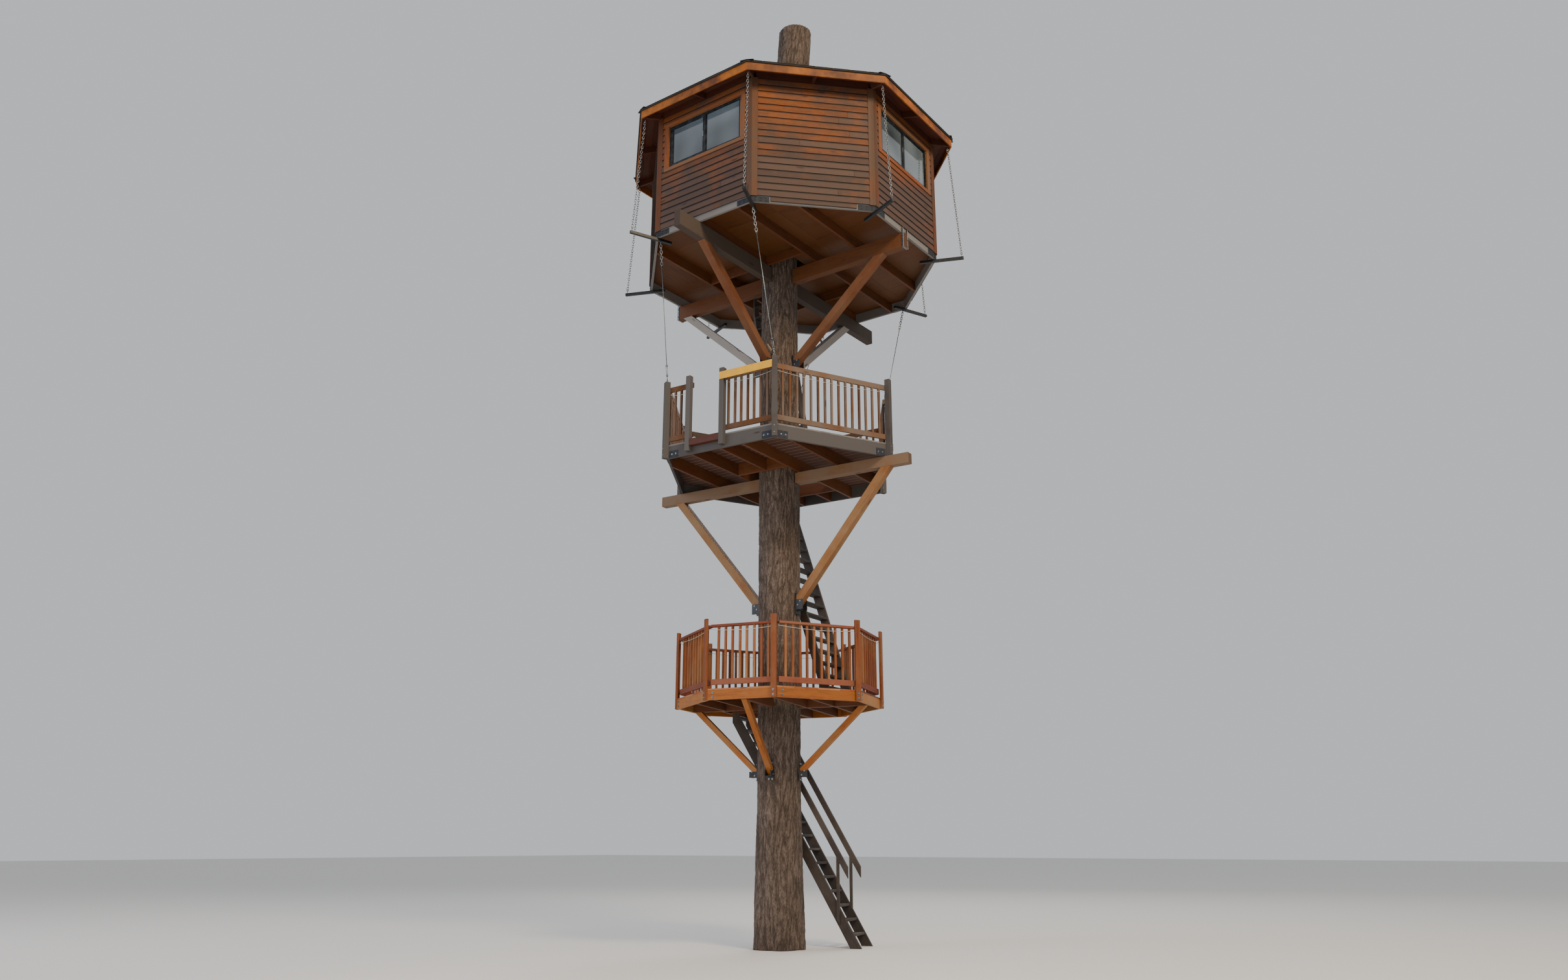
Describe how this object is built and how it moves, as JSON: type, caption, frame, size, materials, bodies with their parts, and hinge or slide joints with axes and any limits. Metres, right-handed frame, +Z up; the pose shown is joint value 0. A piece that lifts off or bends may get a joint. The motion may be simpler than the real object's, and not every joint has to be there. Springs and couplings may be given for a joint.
{
  "type": "tree house",
  "caption": "Octagonal wooden cabin under a low hipped roof, a six-sided bridge deck and a small landing deck, braced to one tall trunk with steep stairs between them",
  "frame": {"origin": "on the ground at the middle of the trunk foot", "axes": "+Z up, -Y the front where the first window is, +X the right side of the front"},
  "size_m": [6.0431, 6.1006, 17.2193],
  "materials": {
    "bark": "furrowed fir bark",
    "painted_steel": "black painted steel",
    "galvanised": "galvanised steel rod",
    "dark_timber": "brown stained fir in the shade",
    "brace_timber": "stained fir, sun bleached",
    "grey_timber": "weathered grey timber",
    "plywood": "stained plywood",
    "siding": "weathered cedar lap boards",
    "trim": "stained cedar boards",
    "window_frame": "dark anodised aluminium",
    "window_pane": "clear glass",
    "shingle": "dark felt shingles",
    "yellow_paint": "yellow painted plate",
    "new_cedar": "fresh orange stained cedar",
    "stair_timber": "dark stained timber"
  },
  "bodies": {
    "root": {"trunk": "bark", "brace_seats": "painted_steel", "corner_arms": "painted_steel", "corner_plates": "painted_steel", "deck_plates": "painted_steel", "eave_rods": "galvanised", "deck_hangers": "galvanised", "cabin_arms": "dark_timber", "cabin_joists": "dark_timber", "roof_rafters": "dark_timber", "roof_boards": "dark_timber", "frieze_blocks": "dark_timber", "middle_beams": "dark_timber", "middle_joists": "dark_timber", "bridge_ledgers": "dark_timber", "cabin_braces": "brace_timber", "middle_braces": "brace_timber", "cabin_rim": "grey_timber", "middle_rim": "grey_timber", "middle_decking": "grey_timber", "middle_posts": "grey_timber", "middle_railing": "grey_timber", "cabin_floor": "plywood", "wall_front": "siding", "wall_front_right": "siding", "wall_right": "siding", "wall_back_right": "siding", "wall_back": "siding", "wall_back_left": "siding", "wall_left": "siding", "wall_front_left": "siding", "corner_boards": "trim", "window_casings": "trim", "fascia": "trim", "window_frames": "window_frame", "window_glass": "window_pane", "roof_shingles": "shingle", "sign_plate": "yellow_paint", "landing_braces": "new_cedar", "landing_rim": "new_cedar", "landing_joists": "new_cedar", "landing_decking": "new_cedar", "landing_posts": "new_cedar", "landing_railing": "new_cedar", "lower_stair": "stair_timber", "hand_rails": "stair_timber", "middle_stair": "stair_timber", "upper_stair": "stair_timber"}
  },
  "joints": []
}
